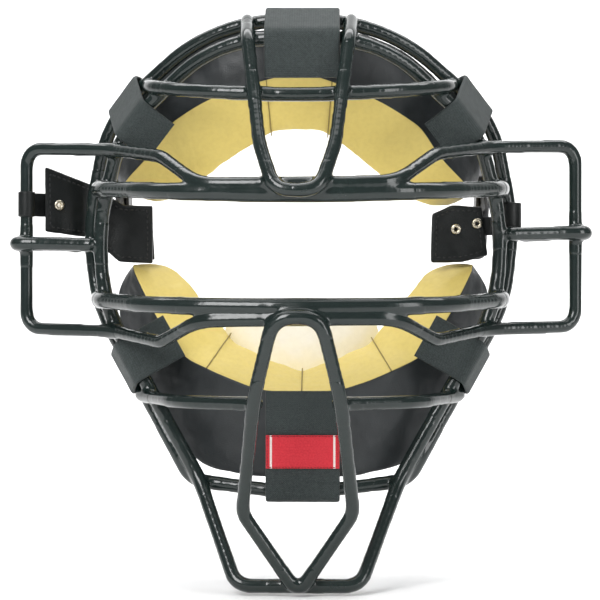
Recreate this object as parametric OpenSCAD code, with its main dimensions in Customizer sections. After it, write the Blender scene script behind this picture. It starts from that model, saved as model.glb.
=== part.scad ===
// Catcher's mask: a welded wire cage dipped in vinyl, two leather-faced pads held by
// webbing straps, and an elastic harness hung on two leather tabs.
// X is the wearer's left-right line, -Y is the way the mask faces and +Z is up.
// The origin is in the middle of the eye opening, level with the harness tabs.

/* [Wire cage] */
// Diameter of the ring and guard wires with their vinyl coat
ring_wire_d = 5.3; // [5.1:0.1:5.5]
// Diameter of the two heavy bars above and below the eyes
main_bar_d = 6.4; // [6.2:0.1:6.6]
// Diameter of the ear guard wire
ear_wire_d = 5; // [4.8:0.1:5.2]
// Half width of the rear ring, between wire centres
ring_half_w = 104; // [103:0.5:105]
// How far the sides of the rings lie behind their top centre
ring_wrap = 38; // [36:1:40]
// Reach of the two main bars in front of the origin
bar_bow = 77; // [76:0.5:78]
// Half width over the two ear guards, between wire centres
ear_half_w = 133; // [131:0.5:134]
// Depth of the throat guard's bottom bar below the origin
throat_drop = 155; // [154:1:156]

/* [Pads] */
// Reach of the pads in front of the origin at the centre line
pad_front = 12; // [10:1:13]
// Depth of the forehead pad at the centre line
top_pad_depth = 40; // [34:1:42]
// Depth of the chin pad at the centre line
chin_pad_depth = 46; // [40:1:48]
// Thickness of the vinyl and leather skins
skin_t = 1.6; // [1.2:0.2:2]

/* [Straps] */
// Thickness of the pad straps
strap_t = 2; // [1.8:0.1:2.2]
// Width of the centre straps at the top and the chin
centre_strap_w = 35; // [34:1:38]
// Width of the four side straps
side_strap_w = 22.5; // [21:0.5:24]

/* [Harness] */
// Rise of the harness behind the tabs, in degrees
harness_rise = 34; // [33:1:35]
// Length of the harness from the tabs to the back plate
harness_len = 163; // [155:1:170]
// Width of the elastic side straps
elastic_w = 28; // [26:1:28]

/* [Hidden] */
$fn = 40;

// Coat colours
wire_colour = "#141a18";
vinyl_colour = "#1b1c1e";
leather_colour = "#d9bf5a";
webbing_colour = "#202224";
metal_colour = "#b9ad86";

// ---------------------------------------------------------------- bent wire and band

function unit(v) = v / norm(v);
function point(c) = [c.x, c.y, c[2]];
function turn(a, b, c) = acos(min(1, unit(b - a) * unit(c - b)));
function trim(a, b, c, r) = r * tan(turn(a, b, c) / 2);

// Corners are [x, y, z, bend radius]. This gives the other half of a symmetric wire.
function across(corners) = [
    for (i = [len(corners) - 1 : -1 : 0])
        [-corners[i].x, corners[i].y, corners[i].z, corners[i][3]]
];
// A bar from tip to tip, given its centre corner and the corners of its right half.
function tip_to_tip(centre, right) = concat(across(right), [centre], right);

// Rigid placement from three perpendicular unit axes and an origin.
function placement(ax, ay, az, at) = [
    [ax.x, ay.x, az.x, at.x],
    [ax.y, ay.y, az.y, at.y],
    [ax.z, ay.z, az.z, at.z],
    [0, 0, 0, 1]
];

// A section is [diameter] for wire or [thickness, width] for band. The bends are a trace
// thicker than the straight runs, and reach a little way over their ends.
bend_swell = 0.1;
bend_overlap = 0.3;
module section_face(section, extra = 0) {
    if (len(section) == 1) circle(d = section[0] + extra);
    else square([section[0] + extra, section[1] + extra], center = true);
}

module straight(a, b, section) {
    along = unit(b - a);
    up = abs(along.z) < 0.99 ? [0, 0, 1] : [0, 1, 0];
    side = unit(cross(up, along));
    multmatrix(placement(side, cross(along, side), along, a))
        linear_extrude(norm(b - a)) section_face(section);
}

module bend(a, b, c, r, section) {
    along = unit(b - a);
    leaving = unit(c - b);
    inward = unit(leaving - (leaving * along) * along);
    start = b - along * trim(a, b, c, r);
    overlap = bend_overlap / r * 180 / PI;
    multmatrix(placement(-inward, along, cross(-inward, along), start + inward * r))
        rotate([0, 0, -overlap])
            rotate_extrude(angle = turn(a, b, c) + 2 * overlap)
                translate([r, 0]) section_face(section, bend_swell);
}

// Straight runs joined by bends, through every corner in turn.
module run(corners, section, closed = false) {
    n = len(corners);
    p = [for (c = corners) point(c)];
    cut = [
        for (i = [0 : n - 1])
            !closed && (i == 0 || i == n - 1)
                ? 0
                : trim(p[(i + n - 1) % n], p[i], p[(i + 1) % n], corners[i][3])
    ];
    for (i = [0 : closed ? n - 1 : n - 2]) {
        j = (i + 1) % n;
        along = unit(p[j] - p[i]);
        straight(p[i] + along * cut[i], p[j] - along * cut[j], section);
    }
    for (i = [0 : n - 1])
        if (cut[i] > 0)
            bend(p[(i + n - 1) % n], p[i], p[(i + 1) % n], corners[i][3], section);
}

module wire(corners, d, closed = false) {
    color(wire_colour) run(corners, [d], closed);
}

// ---------------------------------------------------------------- wire cage

// Depth of the rear ring at a distance x from the centre line.
ring_front = -20;
function ring_y(x) = ring_front + ring_wrap * pow(x / ring_half_w, 2);
// Depth from the rear ring to the front ring.
ring_gap = 18;

function rear_corner(x, z, r) = [x, ring_y(x), z, r];
function front_corner(x, z, r) = [x, ring_y(x * 1.06) - ring_gap, z, r];

rear_right = [
    rear_corner(40, 107.5, 85),
    rear_corner(ring_half_w - 11, 64.5, 58),
    rear_corner(ring_half_w, 10, 100),
    rear_corner(ring_half_w - 6, -28, 80),
    rear_corner(51.5, -109.5, 14),
];
rear_ring_corners = concat(
    [[0, ring_front, 107.5, 55]], rear_right, [[0, -18, -115.5, 120]], across(rear_right)
);

front_right = [
    front_corner(38, 97, 68),
    front_corner(85, 56, 55),
    front_corner(97, 10, 90),
    front_corner(93, -28, 80),
    [47.5, -14.4, -108.5, 30],
    [28.5, -45, -throat_drop, 9],
];
front_ring_corners = concat([[0, ring_front - ring_gap, 97, 55]], front_right, across(front_right));

// Both main bars are bowed to the same plan, and end against the outside of the rings.
function main_bar_half(z_mid, z_turn, tip) = [
    [62, 11 - bar_bow, z_mid, 60],
    [95.9, -14, z_turn, 45],
    concat(tip, 0),
];
upper_bar_z = 22.7;
lower_bar_z = -27.3;
upper_bar_half = main_bar_half(25, 28.6, [96.4, 12.9, 29.8]);
lower_bar_half = main_bar_half(-26.6, -24, [96.6, 9.2, -23]);

// The ear guard wire is one closed loop, laid along both main bars and out round the ears.
ear_y = 10;
ear_tilt = 0.5;
ear_right = [
    [44, 6.5 - bar_bow, 28.2, 20],
    [63, -46, 42.5, 30],
    [89.8, -10.2, 48, 25],
    [ear_half_w, ear_y, 50, 8],
    [ear_half_w, ear_y, -37.2, 8],
    [88.7, -8.7, -38.4, 25],
    [63, -46, -42.8, 14],
    [44, 6.5 - bar_bow, -32.7, 20],
];
function tilted(corners, side) = [for (c = corners) [c.x, c.y, c.z + side * ear_tilt, c[3]]];
ear_wire_corners = concat(
    [[0, -0.3 - bar_bow, 27.3, 150]], tilted(ear_right, 1),
    [[0, -0.3 - bar_bow, -32.2, 150]], across(tilted(ear_right, -1))
);

brow_half = [
    [50, -45, 72, 50],
    [69.7, -18.3, 76.5, 30],
    [73, -1.5, 78.5, 0],
];

upper_u_half = [
    [24.6, -19, 108.3, 0],
    [23.4, -41.4, 96.9, 12],
    [20, -54.2, 70, 60],
    [17, -69.5, 46, 50],
    [9.8, -4.9 - bar_bow, 24.5, 9.5],
];

lower_u_half = [
    [0, -48.5, -throat_drop - 3, 4],
    [25.2, -57.5, -120.5, 12],
    [19.4, -72, -68, 150],
    [10.5, -2.7 - bar_bow, -31.6, 10.2],
];

cheek_bar_corners = [
    [76.6, -1.8, -69.4, 0],
    [71.4, -12.3, -70, 20],
    [56, -47, -70.5, 35],
    [16.5, -68.8, -70.5, 0],
];

// Hairpin that leaves the front ring, rounds the ear guard and returns to the rear ring.
hairpin_r = (ear_wire_d + ring_wire_d) / 2 - 0.4;
function hairpin_corners(z) = [
    [98.8, -3.5, z - 1, 0],
    [ear_half_w - 4, ear_y - hairpin_r, z, 20],
    [ear_half_w + hairpin_r, ear_y - hairpin_r, z, hairpin_r - 0.6],
    [ear_half_w + hairpin_r, ear_y + hairpin_r, z, hairpin_r - 0.6],
    [ear_half_w - 4, ear_y + hairpin_r, z, 20],
    [106.4, 17, z - 1, 0],
];
left_hairpin_z = 3.4;
right_hairpin_z = 8.4;

module rear_ring() { wire(rear_ring_corners, ring_wire_d, closed = true); }
module front_ring() { wire(front_ring_corners, ring_wire_d, closed = true); }
module upper_main_bar() {
    wire(tip_to_tip([0, -bar_bow, upper_bar_z, 150], upper_bar_half), main_bar_d);
}
module lower_main_bar() {
    wire(tip_to_tip([0, -bar_bow, lower_bar_z, 150], lower_bar_half), main_bar_d);
}
module ear_guard_wire() { wire(ear_wire_corners, ear_wire_d, closed = true); }
module brow_bar() { wire(tip_to_tip([0, -51, 69.3, 150], brow_half), ring_wire_d); }
module upper_u_bar() {
    half = upper_u_half;
    wire(concat(half, across(half)), ear_wire_d);
}
module lower_u_bar() {
    half = [for (i = [1 : len(lower_u_half) - 1]) lower_u_half[i]];
    wire(concat([lower_u_half[0]], half, across(half)), ear_wire_d, closed = true);
}
module cheek_bar() { wire(cheek_bar_corners, ear_wire_d); }
module cheek_bar_right() { cheek_bar(); }
module cheek_bar_left() { mirror([1, 0, 0]) cheek_bar(); }
module ear_mid_bar_right() { wire(hairpin_corners(right_hairpin_z), ring_wire_d); }
module ear_mid_bar_left() {
    mirror([1, 0, 0]) wire(hairpin_corners(left_hairpin_z), ring_wire_d);
}

// ---------------------------------------------------------------- pads

pad_front_r = 120;
top_pad_face_r = 105;
chin_pad_face_r = 92;
pad_reach = 150;

function mirror_2d(half) = concat(half, [for (i = [len(half) - 1 : -1 : 0]) [-half[i].x, half[i].y]]);

// Front view outlines, right half from the top centre round to the inner edge.
top_pad_outline = mirror_2d([
    [8, 103.9], [34, 101.6], [57, 92], [72, 79], [83, 63], [87.8, 48], [88.2, 36],
    [80, 24.4], [70, 24.4], [45, 36], [30, 52], [14, 58.5]
]);
chin_pad_outline = mirror_2d([
    [14, -57.5], [30, -48], [42, -34], [54, -21], [74, -6.8], [84, -7.5],
    [88, -24], [84, -46], [74, -68], [61, -90], [48, -101], [32, -106], [14, -107.8]
]);
chin_cup_outline = mirror_2d([[36, -38], [27, -51.5], [13, -60.5]]);

// Solid between two upright cylinders: one in front with its foremost line at y_front,
// and one for the face with its foremost line at y_back.
module between(y_front, r_front, y_back, r_back) {
    difference() {
        translate([0, y_front + r_front, -pad_reach])
            cylinder(r = r_front, h = 2 * pad_reach, $fn = 96);
        translate([0, y_back + r_back, -pad_reach - 1])
            cylinder(r = r_back, h = 2 * pad_reach + 2, $fn = 96);
    }
}

// An outline drawn in the front view, carried through the whole depth of the mask.
module through(outline) {
    rotate([90, 0, 0]) linear_extrude(2 * pad_reach, center = true) polygon(outline);
}

// Keeps a pad to the part in front of the wearer's ears.
module ahead_of(y) {
    translate([-pad_reach, -pad_reach, -pad_reach])
        cube([2 * pad_reach, pad_reach + y, 2 * pad_reach]);
}

module pad_layer(outline, y_front, r_front, y_back, r_back, y_limit) {
    intersection() {
        through(outline);
        between(y_front, r_front, y_back, r_back);
        ahead_of(y_limit);
    }
}

seam_gap = 0.1;
top_limit = 58;
chin_limit = 58;

module top_pad_cover() {
    color(vinyl_colour)
        pad_layer(top_pad_outline, -pad_front, pad_front_r,
                  -pad_front + skin_t, pad_front_r, top_limit);
}
module top_pad_foam() {
    color("#c9c4a8")
        pad_layer(top_pad_outline, -pad_front + skin_t + seam_gap, pad_front_r,
                  top_pad_depth - pad_front - skin_t - seam_gap, top_pad_face_r, top_limit);
}
module top_pad_facing() {
    color(leather_colour)
        pad_layer(top_pad_outline, top_pad_depth - pad_front - skin_t, top_pad_face_r,
                  top_pad_depth - pad_front, top_pad_face_r, top_limit);
}
module chin_pad_cover() {
    color(vinyl_colour)
        pad_layer(chin_pad_outline, -pad_front, pad_front_r,
                  -pad_front + skin_t, pad_front_r, chin_limit);
}
module chin_pad_foam() {
    color("#c9c4a8")
        pad_layer(chin_pad_outline, -pad_front + skin_t + seam_gap, pad_front_r,
                  chin_pad_depth - pad_front - skin_t - seam_gap, chin_pad_face_r, chin_limit);
}
module chin_pad_facing() {
    color(leather_colour)
        pad_layer(chin_pad_outline, chin_pad_depth - pad_front - skin_t, chin_pad_face_r,
                  chin_pad_depth - pad_front, chin_pad_face_r, chin_limit);
}
module chin_cup_lining() {
    cup_back = chin_pad_depth - pad_front + 2 * skin_t;
    color("#e9e4d4")
        pad_layer(chin_cup_outline, cup_back - skin_t, chin_pad_face_r,
                  cup_back, chin_pad_face_r, chin_limit);
}

// ---------------------------------------------------------------- pad straps

// Each strap is drawn in a plane across the rings: u runs towards the middle of the mask
// and y towards the wearer, with the rear ring's wire at [0, 0]. The plane leans by an
// angle about u, so that the side straps lie square across the slanting rings.
strap_corner_r = 3;
flap_gap = 0.3;

// Unit direction of u in the front view, at an angle from +X.
function inward(angle) = [cos(angle), 0, sin(angle)];
module strap_plane(spec) {
    u = inward(spec[1]);
    depth = cos(spec[2]) * [0, 1, 0] + sin(spec[2]) * cross(u, [0, 1, 0]);
    multmatrix(placement(u, depth, cross(u, depth), spec[0])) children();
}

// The centre straps sit a little off the centre line.
strap_x = 1.6;

// [at, angle, lean, wrap round the wire, front wire, rear layer length, flap end, width]
top_spec = [
    [strap_x, -18.55, 107.3], -90, 0, 5.25, [10.3, -17.7], 14, [29, -17.5], centre_strap_w
];
chin_wrap = 4.5;
chin_spec = [
    [strap_x, -15.9, -113.8], 90, 0, chin_wrap, undef, 4.8, [47, -4], centre_strap_w
];
function upper_spec(side) = [
    [side * 82.37, 5.45, 72.6], side > 0 ? 219 : -39, -side * 17.3,
    4.25, [11.2, -19.75], 6, [27, -18], side_strap_w
];
function lower_spec(side) = [
    [side * 81.48, 5.04, -56.96], side > 0 ? 150.3 : 29.7, side * 11,
    4.65, [4.23, -12.8], 6, [27, -12.2], side_strap_w
];
upper_left_spec = upper_spec(-1);
upper_right_spec = upper_spec(1);
lower_left_spec = lower_spec(-1);
lower_right_spec = lower_spec(1);

// Where the outer run of a strap meets its front layer, for a strap round both rings.
function front_corner_u(f, wrap) = f.x + wrap * (f.x - norm(f)) / -f.y;
function outer_corner_y(f, wrap) = -wrap * (norm(f) + f.y) / f.x;

// The flap turns on a line across the strap, on its outer surface, at this point.
function flap_knee(spec) = is_undef(spec[4])
    ? [14, -spec[3]]
    : [front_corner_u(spec[4], spec[3]), spec[4].y - spec[3]];
function flap_start(spec) = is_undef(spec[4])
    ? [4, -spec[3]]
    : let (corner = [-spec[3], outer_corner_y(spec[4], spec[3])])
        corner + (flap_knee(spec) - corner) * 0.45;

module strap_loop(spec) {
    wrap = spec[3];
    start = flap_start(spec);
    front_y = is_undef(spec[4]) ? -wrap : outer_corner_y(spec[4], wrap);
    color(webbing_colour) strap_plane(spec)
        run([
            [spec[5], wrap, 0, 0],
            [-wrap, wrap, 0, strap_corner_r],
            [-wrap, front_y, 0, strap_corner_r],
            [start.x, start.y, 0, 0],
        ], [strap_t, spec[7]]);
}

module strap_flap(spec) {
    wrap = spec[3];
    start = flap_start(spec);
    knee = flap_knee(spec);
    begin = start + flap_gap * unit(knee - start);
    color(webbing_colour) strap_plane(spec)
        run([
            [begin.x, begin.y, 0, 0],
            [knee.x, knee.y, 0, is_undef(spec[4]) ? 12 : 4.5],
            [spec[6].x, is_undef(spec[4]) ? spec[6].y : spec[6].y - wrap, 0, 0],
        ], [strap_t, spec[7]]);
}

label_w = 35;
label_h = 15.8;
label_t = 0.6;
module strap_label() {
    color("#b3202c") strap_plane(chin_spec)
        translate([10.6, -chin_wrap - strap_t / 2 - label_t - 0.15, -label_w / 2])
            cube([label_h, label_t, label_w]);
}

module top_strap() { strap_loop(top_spec); }
module chin_strap() { strap_loop(chin_spec); }
module upper_left_strap() { strap_loop(upper_left_spec); }
module upper_right_strap() { strap_loop(upper_right_spec); }
module lower_left_strap() { strap_loop(lower_left_spec); }
module lower_right_strap() { strap_loop(lower_right_spec); }
module top_strap_flap() { strap_flap(top_spec); }
module chin_strap_flap() { strap_flap(chin_spec); }
module upper_left_flap() { strap_flap(upper_left_spec); }
module upper_right_flap() { strap_flap(upper_right_spec); }
module lower_left_flap() { strap_flap(lower_left_spec); }
module lower_right_flap() { strap_flap(lower_right_spec); }

// ---------------------------------------------------------------- harness tabs

tab_t = 2.6;
tab_y = 28.5;
loop_h = 12;
loop_t = 1.5;
loop_gap = 0.15;
eyelet_r = 2.6;
eyelet_shaft_r = 1.6;

// A plate cut to a front view outline from a band bent in plan.
module bent_plate(plan, outline, t) {
    intersection() {
        run(plan, [t, 2 * pad_reach]);
        through(outline);
    }
}

// Eyelet: a tube through the plate and the loop behind it, with a rolled rim in front.
module eyelet() {
    back = tab_t / 2 + loop_gap + loop_t + 0.2;
    front = tab_t / 2 + 0.1;
    rotate([90, 0, 0]) {
        difference() {
            union() {
                translate([0, 0, -back]) cylinder(r = eyelet_shaft_r, h = back + front + 0.1);
                translate([0, 0, front]) cylinder(r = eyelet_r, h = 0.8);
            }
            translate([0, 0, -back - 1]) cylinder(r = 1, h = back + front + 3);
        }
    }
}

module eyelet_hole() {
    rotate([90, 0, 0]) cylinder(r = eyelet_shaft_r + 0.05, h = 6 * tab_t, center = true);
}

left_slope = [[-125.5, 17], [-103, tab_y]];
left_angle = atan2(left_slope[1].y - left_slope[0].y, left_slope[1].x - left_slope[0].x);
left_eyelet_at = [-119, 17 + 6.5 * tan(left_angle), 22.5];

module left_tab() {
    color(vinyl_colour)
        difference() {
            bent_plate(
                [concat(left_slope[0], [0, 0]), concat(left_slope[1], [0, 8]), [-72, tab_y, 0, 0]],
                [[-124.7, 9.5], [-125.2, 41.3], [-104, 33], [-88, 23], [-73.3, 22.5],
                 [-73.3, -6], [-90, -5], [-104, 6.8]],
                tab_t
            );
            translate(left_eyelet_at) rotate([0, 0, left_angle]) eyelet_hole();
        }
}

// Plan position behind the sloping part of the left tab, a distance along its slope.
function behind_left_tab(along) = left_slope[0]
    + along * [cos(left_angle), sin(left_angle)]
    + (tab_t / 2 + loop_gap + loop_t / 2) * [-sin(left_angle), cos(left_angle)];

// Narrow strap round the ear guard's upright, fixed to the tab by the eyelet.
loop_clear = 0.08;
module left_tab_loop() {
    inner = ear_wire_d / 2 + loop_clear;
    color(webbing_colour)
        difference() {
            translate([0, 0, 16.5]) union() {
                translate([-ear_half_w, ear_y, 0]) cylinder(r = inner + loop_t, h = loop_h);
                translate([0, 0, loop_h / 2])
                    run([
                        [-ear_half_w + 0.3, ear_y + 3.3, 0, 0],
                        concat(behind_left_tab(-1), [0, 4]),
                        concat(behind_left_tab(13), [0, 0]),
                    ], [loop_t, loop_h - 0.6]);
            }
            translate([-ear_half_w, ear_y, 0]) cylinder(r = inner, h = 60);
            translate(left_eyelet_at) rotate([0, 0, left_angle]) eyelet_hole();
        }
}

module left_tab_eyelet() {
    color(metal_colour) translate(left_eyelet_at) rotate([0, 0, left_angle]) eyelet();
}

right_eyelets = [[76.3, 10.9], [86.7, 13.7]];
right_pivot = [101.7, 16.4];

module right_tab() {
    color(vinyl_colour)
        difference() {
            bent_plate(
                [[63, tab_y, 0, 0], [94.5, tab_y, 0, 0]],
                [[64, -5.6], [64.6, 18.5], [74, 22.6], [89, 22], [92, -2], [79, -5.2]],
                tab_t
            );
            for (e = right_eyelets)
                translate([e.x, tab_y, e.y]) eyelet_hole();
        }
}

module right_tab_loop() {
    collar_z = 11.3;
    tongue_z = 8;
    tongue_h = loop_h - 3;
    link_h = loop_h - 0.5;
    tongue_y = tab_y + tab_t / 2 + loop_gap;
    link_y = right_pivot.y + 2;
    color(webbing_colour)
        difference() {
            union() {
                translate([right_pivot.x, right_pivot.y, collar_z]) cylinder(r = 5.8, h = loop_h);
                translate([72, tongue_y, tongue_z]) cube([26, loop_t, tongue_h]);
                translate([94.5, link_y, tongue_z + 0.5])
                    cube([4.6, tongue_y + loop_t - 0.1 - link_y, link_h]);
            }
            translate([right_pivot.x, right_pivot.y, 0]) cylinder(r = 4.3, h = 60);
            for (e = right_eyelets)
                translate([e.x, tab_y, e.y]) eyelet_hole();
        }
}

module right_tab_eyelets() {
    color(metal_colour)
        for (e = right_eyelets)
            translate([e.x, tab_y, e.y]) eyelet();
}

// ---------------------------------------------------------------- harness

elastic_t = 1.8;
harness_x = 92;
harness_at = [0, tab_y + 11, 8];
harness_dir = [0, cos(harness_rise), sin(harness_rise)];

// Harness frame: y runs back along the straps and z is across their width.
module in_harness() {
    multmatrix(placement([1, 0, 0], harness_dir, cross([1, 0, 0], harness_dir), harness_at))
        children();
}

plate_w = 54;
plate_h = 48;
plate_t = 3;
plate_corner_r = 9;
plate_rivet_x = 20;
rivet_r = 3.4;

module elastic() {
    color(webbing_colour) in_harness()
        run([
            [-74, 0, 0, 0],
            [-harness_x, 0, 0, 5],
            [-harness_x, 78, 0, 55],
            [-plate_w / 2 - 1, harness_len - 2.6, 0, 25],
            [-plate_w / 2 + 14, harness_len - 1.2, 0, 0],
        ], [elastic_t, elastic_w]);
}
module elastic_left() { elastic(); }
module elastic_right() { mirror([1, 0, 0]) elastic(); }

module rounded_plate(w, h, r, t) {
    linear_extrude(t) {
        square([w - 2 * r, h], center = true);
        square([w, h - 2 * r], center = true);
        for (x = [-1, 1], y = [-1, 1])
            translate([x * (w / 2 - r), y * (h / 2 - r)]) circle(r = r);
    }
}

module back_plate() {
    color(vinyl_colour) in_harness()
        translate([0, harness_len + plate_t, 0]) rotate([90, 0, 0])
            difference() {
                rounded_plate(plate_w, plate_h, plate_corner_r, plate_t);
                for (x = [-1, 1])
                    translate([x * plate_rivet_x, 0, -1]) cylinder(r = 2.05, h = plate_t + 2);
            }
}
felt_t = 5;
module back_felt() {
    color("#8d8a80") in_harness()
        translate([0, harness_len - 3.2, 0]) rotate([90, 0, 0])
            rounded_plate(plate_w - 14, plate_h - 4, plate_corner_r - 1, felt_t);
}
module plate_rivets() {
    color(metal_colour) in_harness()
        for (x = [-1, 1])
            translate([x * plate_rivet_x, harness_len + plate_t, 0]) rotate([90, 0, 0]) {
                translate([0, 0, -0.3]) cylinder(r = 2, h = plate_t + 0.3);
                translate([0, 0, -1.2]) cylinder(r = rivet_r, h = 1.1);
            }
}

// The crown strap runs over the top, and is sewn behind the back plate.
crown_w = 25;
crown_start = [-9, 110.2];
plate_crest = harness_at + harness_dir * (harness_len + plate_t + 1.6)
    + cross([1, 0, 0], harness_dir) * (plate_h / 2 + 3);
plate_sewn = plate_crest - cross([1, 0, 0], harness_dir) * 20;
module crown_strap() {
    color(webbing_colour)
        multmatrix(placement([0, 1, 0], [0, 0, 1], [1, 0, 0], [0, 0, 0]))
            run([
                [crown_start.x, crown_start.y, 0, 0],
                [plate_crest.y, plate_crest.z, 0, 6],
                [plate_sewn.y, plate_sewn.z, 0, 0],
            ], [elastic_t, crown_w]);
}
crown_angle = atan2(plate_crest.z - crown_start.y, plate_crest.y - crown_start.x);

// Slider: a flat frame with a slot round the band and a bar over it.
slider_l = 16;
module slider(band_w) {
    slot_t = elastic_t + 1;
    wall = 2;
    color("#17181a")
        difference() {
            cube([slot_t + 2 * wall, slider_l, band_w + 2 * wall + 1], center = true);
            cube([slot_t, slider_l + 4, band_w + 1], center = true);
            translate([-slot_t, 0, 0]) cube([slot_t * 3, slider_l - 7, band_w - 4], center = true);
        }
}
slider_s = 38;
module left_slider() { in_harness() translate([-harness_x, slider_s, 0]) slider(elastic_w); }
module right_slider() {
    mirror([1, 0, 0]) in_harness() translate([-harness_x, slider_s, 0]) slider(elastic_w);
}
crown_slider_at = 70;
module crown_slider() {
    multmatrix(placement([0, 1, 0], [0, 0, 1], [1, 0, 0], [0, 0, 0]))
        translate([crown_start.x, crown_start.y, 0]) rotate([0, 0, crown_angle])
            translate([crown_slider_at, 0, 0]) rotate([0, 0, 90]) slider(crown_w);
}

// Leather anchor on top of the forehead pad, with the snap that holds the crown strap.
anchor_z = 104.3;
stud_h = 4.2;
snap_y = 4;
module crown_anchor() {
    color(vinyl_colour)
        difference() {
            translate([-15, -9, anchor_z]) cube([30, 27, 2]);
            translate([0, snap_y, anchor_z - 1]) cylinder(r = 2.05, h = 4);
        }
}
module anchor_stud() {
    color(metal_colour) translate([0, snap_y, anchor_z]) {
        cylinder(r = 2, h = stud_h);
        translate([0, 0, stud_h - 0.1]) cylinder(r = 4, h = 1);
    }
}
module snap_cap() {
    cap_base = crown_start.y + (snap_y - crown_start.x) * tan(crown_angle) + elastic_t / 2 + 0.8;
    color(metal_colour) translate([0, snap_y, cap_base]) cylinder(r = 5.5, h = 2);
}

// ---------------------------------------------------------------- nodes

rear_ring();
front_ring();
upper_main_bar();
lower_main_bar();
ear_guard_wire();
brow_bar();
upper_u_bar();
lower_u_bar();
cheek_bar_left();
cheek_bar_right();
ear_mid_bar_left();
ear_mid_bar_right();
top_pad_foam();
top_pad_cover();
top_pad_facing();
chin_pad_foam();
chin_pad_cover();
chin_pad_facing();
chin_cup_lining();
top_strap();
chin_strap();
upper_left_strap();
upper_right_strap();
lower_left_strap();
lower_right_strap();
top_strap_flap();
chin_strap_flap();
upper_left_flap();
upper_right_flap();
lower_left_flap();
lower_right_flap();
strap_label();
left_tab();
left_tab_loop();
left_tab_eyelet();
right_tab();
right_tab_loop();
right_tab_eyelets();
elastic_left();
elastic_right();
crown_strap();
back_plate();
back_felt();
plate_rivets();
left_slider();
right_slider();
crown_slider();
crown_anchor();
anchor_stud();
snap_cap();
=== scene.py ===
"""Looks for the catcher's mask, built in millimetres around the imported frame."""
import math

import bmesh
import bpy
from mathutils import Matrix, Vector, noise
from mathutils.kdtree import KDTree


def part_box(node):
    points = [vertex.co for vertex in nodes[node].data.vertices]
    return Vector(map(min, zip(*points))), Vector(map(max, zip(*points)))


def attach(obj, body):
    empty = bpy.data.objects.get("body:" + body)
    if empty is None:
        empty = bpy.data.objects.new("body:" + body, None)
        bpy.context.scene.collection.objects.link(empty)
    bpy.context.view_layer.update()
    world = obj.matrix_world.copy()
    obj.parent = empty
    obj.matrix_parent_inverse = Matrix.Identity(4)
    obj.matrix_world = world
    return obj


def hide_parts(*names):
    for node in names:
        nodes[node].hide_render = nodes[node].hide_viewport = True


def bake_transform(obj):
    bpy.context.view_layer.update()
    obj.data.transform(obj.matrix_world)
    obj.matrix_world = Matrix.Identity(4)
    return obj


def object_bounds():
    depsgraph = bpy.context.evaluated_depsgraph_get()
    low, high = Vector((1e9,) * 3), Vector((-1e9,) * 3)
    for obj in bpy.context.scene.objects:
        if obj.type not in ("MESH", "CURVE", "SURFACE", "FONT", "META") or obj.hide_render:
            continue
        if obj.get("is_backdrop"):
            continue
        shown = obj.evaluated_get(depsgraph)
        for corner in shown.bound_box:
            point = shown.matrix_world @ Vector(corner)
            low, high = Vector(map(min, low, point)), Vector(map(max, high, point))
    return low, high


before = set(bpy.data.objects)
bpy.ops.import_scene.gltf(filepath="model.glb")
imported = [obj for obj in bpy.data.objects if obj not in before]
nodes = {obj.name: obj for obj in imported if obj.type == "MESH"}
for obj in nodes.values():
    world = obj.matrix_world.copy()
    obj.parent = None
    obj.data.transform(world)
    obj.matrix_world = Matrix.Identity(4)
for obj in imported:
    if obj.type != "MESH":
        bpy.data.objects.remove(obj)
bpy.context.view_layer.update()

MM = 0.001
scene = bpy.context.scene


# ------------------------------------------------------------------ mesh helpers

def new_object(name, verts, faces, mats, body=None, uvs=None, tags=None):
    """An object from vertices in millimetres, with sharp edges round its many-sided ends.

    tags holds a material number per face.
    """
    mesh = bpy.data.meshes.new(name)
    mesh.from_pydata([Vector(v) * MM for v in verts], [], faces)
    if uvs:
        layer = mesh.uv_layers.new(name="weave")
        for loop in mesh.loops:
            layer.data[loop.index].uv = uvs[loop.vertex_index]
    bm = bmesh.new()
    bm.from_mesh(mesh)
    bmesh.ops.recalc_face_normals(bm, faces=bm.faces)
    for face in bm.faces:
        if len(face.verts) > 6:
            for edge in face.edges:
                edge.smooth = False
    bm.to_mesh(mesh)
    bm.free()
    obj = bpy.data.objects.new(name, mesh)
    scene.collection.objects.link(obj)
    dress(obj, mats)
    if tags:
        mesh.polygons.foreach_set("material_index", tags)
    if body:
        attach(obj, body)
    return obj


def dress(obj, mats):
    """Gives obj its materials and smooth shading."""
    obj.data.materials.clear()
    for mat in mats if isinstance(mats, (list, tuple)) else [mats]:
        obj.data.materials.append(mat)
    obj.data.polygons.foreach_set("use_smooth", [True] * len(obj.data.polygons))


def baked(obj):
    """Applies every modifier on obj."""
    bpy.context.view_layer.update()
    graph = bpy.context.evaluated_depsgraph_get()
    mesh = bpy.data.meshes.new_from_object(obj.evaluated_get(graph))
    obj.modifiers.clear()
    obj.data = mesh
    return obj


def modify(obj, kind, **settings):
    mod = obj.modifiers.new(kind.title(), kind)
    for key, value in settings.items():
        setattr(mod, key, value)
    return mod


def shift(obj, move):
    """Moves each vertex by move(point in mm, normal), which returns a vector in mm."""
    mesh = obj.data
    steps = [move(v.co / MM, v.normal.copy()) for v in mesh.vertices]
    for vertex, step in zip(mesh.vertices, steps):
        vertex.co += Vector(step) * MM
    mesh.update()


def softened(node, name, voxel, passes, swell, mats, body):
    """A smooth copy of a CAD node, remeshed at a voxel size and swollen by a distance, in mm."""
    obj = bpy.data.objects.new(name, nodes[node].data.copy())
    scene.collection.objects.link(obj)
    modify(obj, "REMESH", mode="VOXEL", voxel_size=voxel * MM)
    modify(obj, "SMOOTH", factor=0.5, iterations=passes)
    baked(obj)
    shift(obj, lambda p, n: n * swell)
    dress(obj, mats)
    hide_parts(node)
    if body:
        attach(obj, body)
    return obj


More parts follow.
